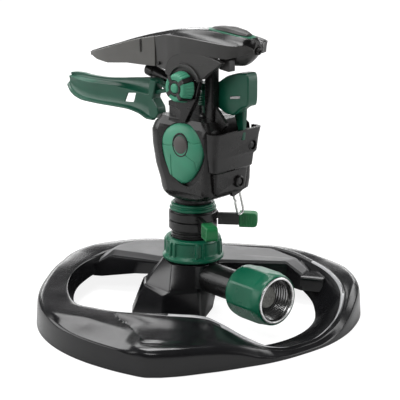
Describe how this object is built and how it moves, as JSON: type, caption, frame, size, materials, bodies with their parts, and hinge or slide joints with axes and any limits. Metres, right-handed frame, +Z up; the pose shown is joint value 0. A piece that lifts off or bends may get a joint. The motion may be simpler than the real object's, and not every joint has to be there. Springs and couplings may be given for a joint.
{
  "type": "part-circle impulse sprinkler on a ring base",
  "caption": "Lawn sprinkler with a hooded swivelling head, impact arm, trip lever and two arc stops on a round hollow base with a side hose inlet.",
  "frame": {"origin": "middle of the base's outline, on the ground plane", "axes": "+Z up along the riser; -Y faces the picture's viewer; +X to the right of the picture; the hose inlet points to the front right, 48 degrees from +X, and the nozzle to the rear left, 137 degrees from +X"},
  "size_m": [0.2246, 0.2232, 0.2027],
  "materials": {
    "black_gloss": "glossy moulded plastic",
    "black_satin": "satin moulded plastic",
    "black_tube": "satin moulded plastic",
    "dark_grey": "matt moulded plastic",
    "green_dark": "semi-gloss moulded plastic",
    "green_nut": "semi-gloss moulded plastic",
    "green_pale": "satin moulded plastic",
    "green_grip": "satin moulded plastic, ribbed",
    "chrome": "plated, polished",
    "steel": "bright drawn wire and pins",
    "rubber": "matt",
    "strainer_grey": "matt moulded plastic"
  },
  "bodies": {
    "base": {"base_ring": "black_gloss", "inlet_elbow": "black_tube", "riser_seal": "rubber", "bearing_sleeve": "black_tube", "bearing_ring": "green_nut"},
    "coupling": {"hose_coupling": "green_nut", "thread_insert": "chrome", "hose_washer": "rubber", "inlet_strainer": "strainer_grey"},
    "nut": {"union_nut": "green_nut"},
    "lower_stop": {"lower_stop_collar": "black_tube", "lower_stop_grip": "green_grip"},
    "upper_stop": {"upper_stop_collar": "black_tube", "upper_stop_grip": "green_grip"},
    "head": {"head_body": "black_satin", "neck_seal": "rubber", "wear_washer": "rubber", "side_cover": "green_pale", "side_cap": "dark_grey", "rear_housing": "black_satin", "housing_screw": "steel", "trip_pin": "steel", "arm_pin": "steel", "arm_spring": "steel", "nozzle_barrel": "black_tube", "jet_insert": "dark_grey", "hood": "black_satin", "hood_trim": "green_nut", "hood_cap": "dark_grey", "rear_plug": "dark_grey", "flap_pin": "steel"},
    "arm": {"impact_arm": "green_dark", "weight_insert": "steel"},
    "trip": {"trip_lever": "black_tube"},
    "wire": {"trip_wire": "steel"},
    "knob": {"knob_hub": "black_satin", "knob_pad_1": "green_pale", "knob_pad_2": "green_pale", "knob_pad_3": "green_pale", "knob_pad_4": "green_pale", "knob_cap": "green_pale"},
    "flap": {"beak_flap": "black_satin"}
  },
  "joints": [
    {"name": "head_swivel", "type": "hinge", "parent": "base", "child": "head", "pos_m": [-0.00454, 0.01042, 0.09], "axis": [0, 0, 1], "continuous": true},
    {"name": "coupling_swivel", "type": "hinge", "parent": "base", "child": "coupling", "pos_m": [0.03895, -0.03789, 0.0286], "axis": [0.6691, -0.7431, 0], "continuous": true},
    {"name": "nut_turn", "type": "hinge", "parent": "base", "child": "nut", "pos_m": [-0.00454, 0.01042, 0.048], "axis": [0, 0, 1], "continuous": true},
    {"name": "lower_stop_turn", "type": "hinge", "parent": "base", "child": "lower_stop", "pos_m": [-0.00454, 0.01042, 0.064], "axis": [0, 0, 1], "range_deg": [-120, 0]},
    {"name": "upper_stop_turn", "type": "hinge", "parent": "base", "child": "upper_stop", "pos_m": [-0.00454, 0.01042, 0.07], "axis": [0, 0, 1], "range_deg": [0, 130]},
    {"name": "arm_swing", "type": "hinge", "parent": "head", "child": "arm", "pos_m": [0.00607, 0.00053, 0.155], "axis": [0, 0, 1], "range_deg": [0, 20], "stiffness_Nm_per_rad": 0.002, "springref_deg": -17.19},
    {"name": "trip_swing", "type": "hinge", "parent": "head", "child": "trip", "pos_m": [0.02281, -0.00894, 0.0992], "axis": [-0.7314, 0.682, 0], "range_deg": [0, 24]},
    {"name": "trip_wire_slide", "type": "slide", "parent": "trip", "child": "wire", "axis": [-0.1994, -0.2138, 0.9563], "range_m": [-0.005, 0]},
    {"name": "knob_turn", "type": "hinge", "parent": "head", "child": "knob", "pos_m": [-0.0135, -0.01678, 0.1635], "axis": [-0.682, -0.7314, 0], "range_deg": [0, 180]},
    {"name": "flap_tilt", "type": "hinge", "parent": "head", "child": "flap", "pos_m": [-0.01551, 0.02065, 0.1752], "axis": [-0.682, -0.7314, 0], "range_deg": [0, 6.5]}
  ],
  "couplings": [
    {"joint": "flap_tilt", "follows": "knob_turn", "ratio": 0.036}
  ]
}
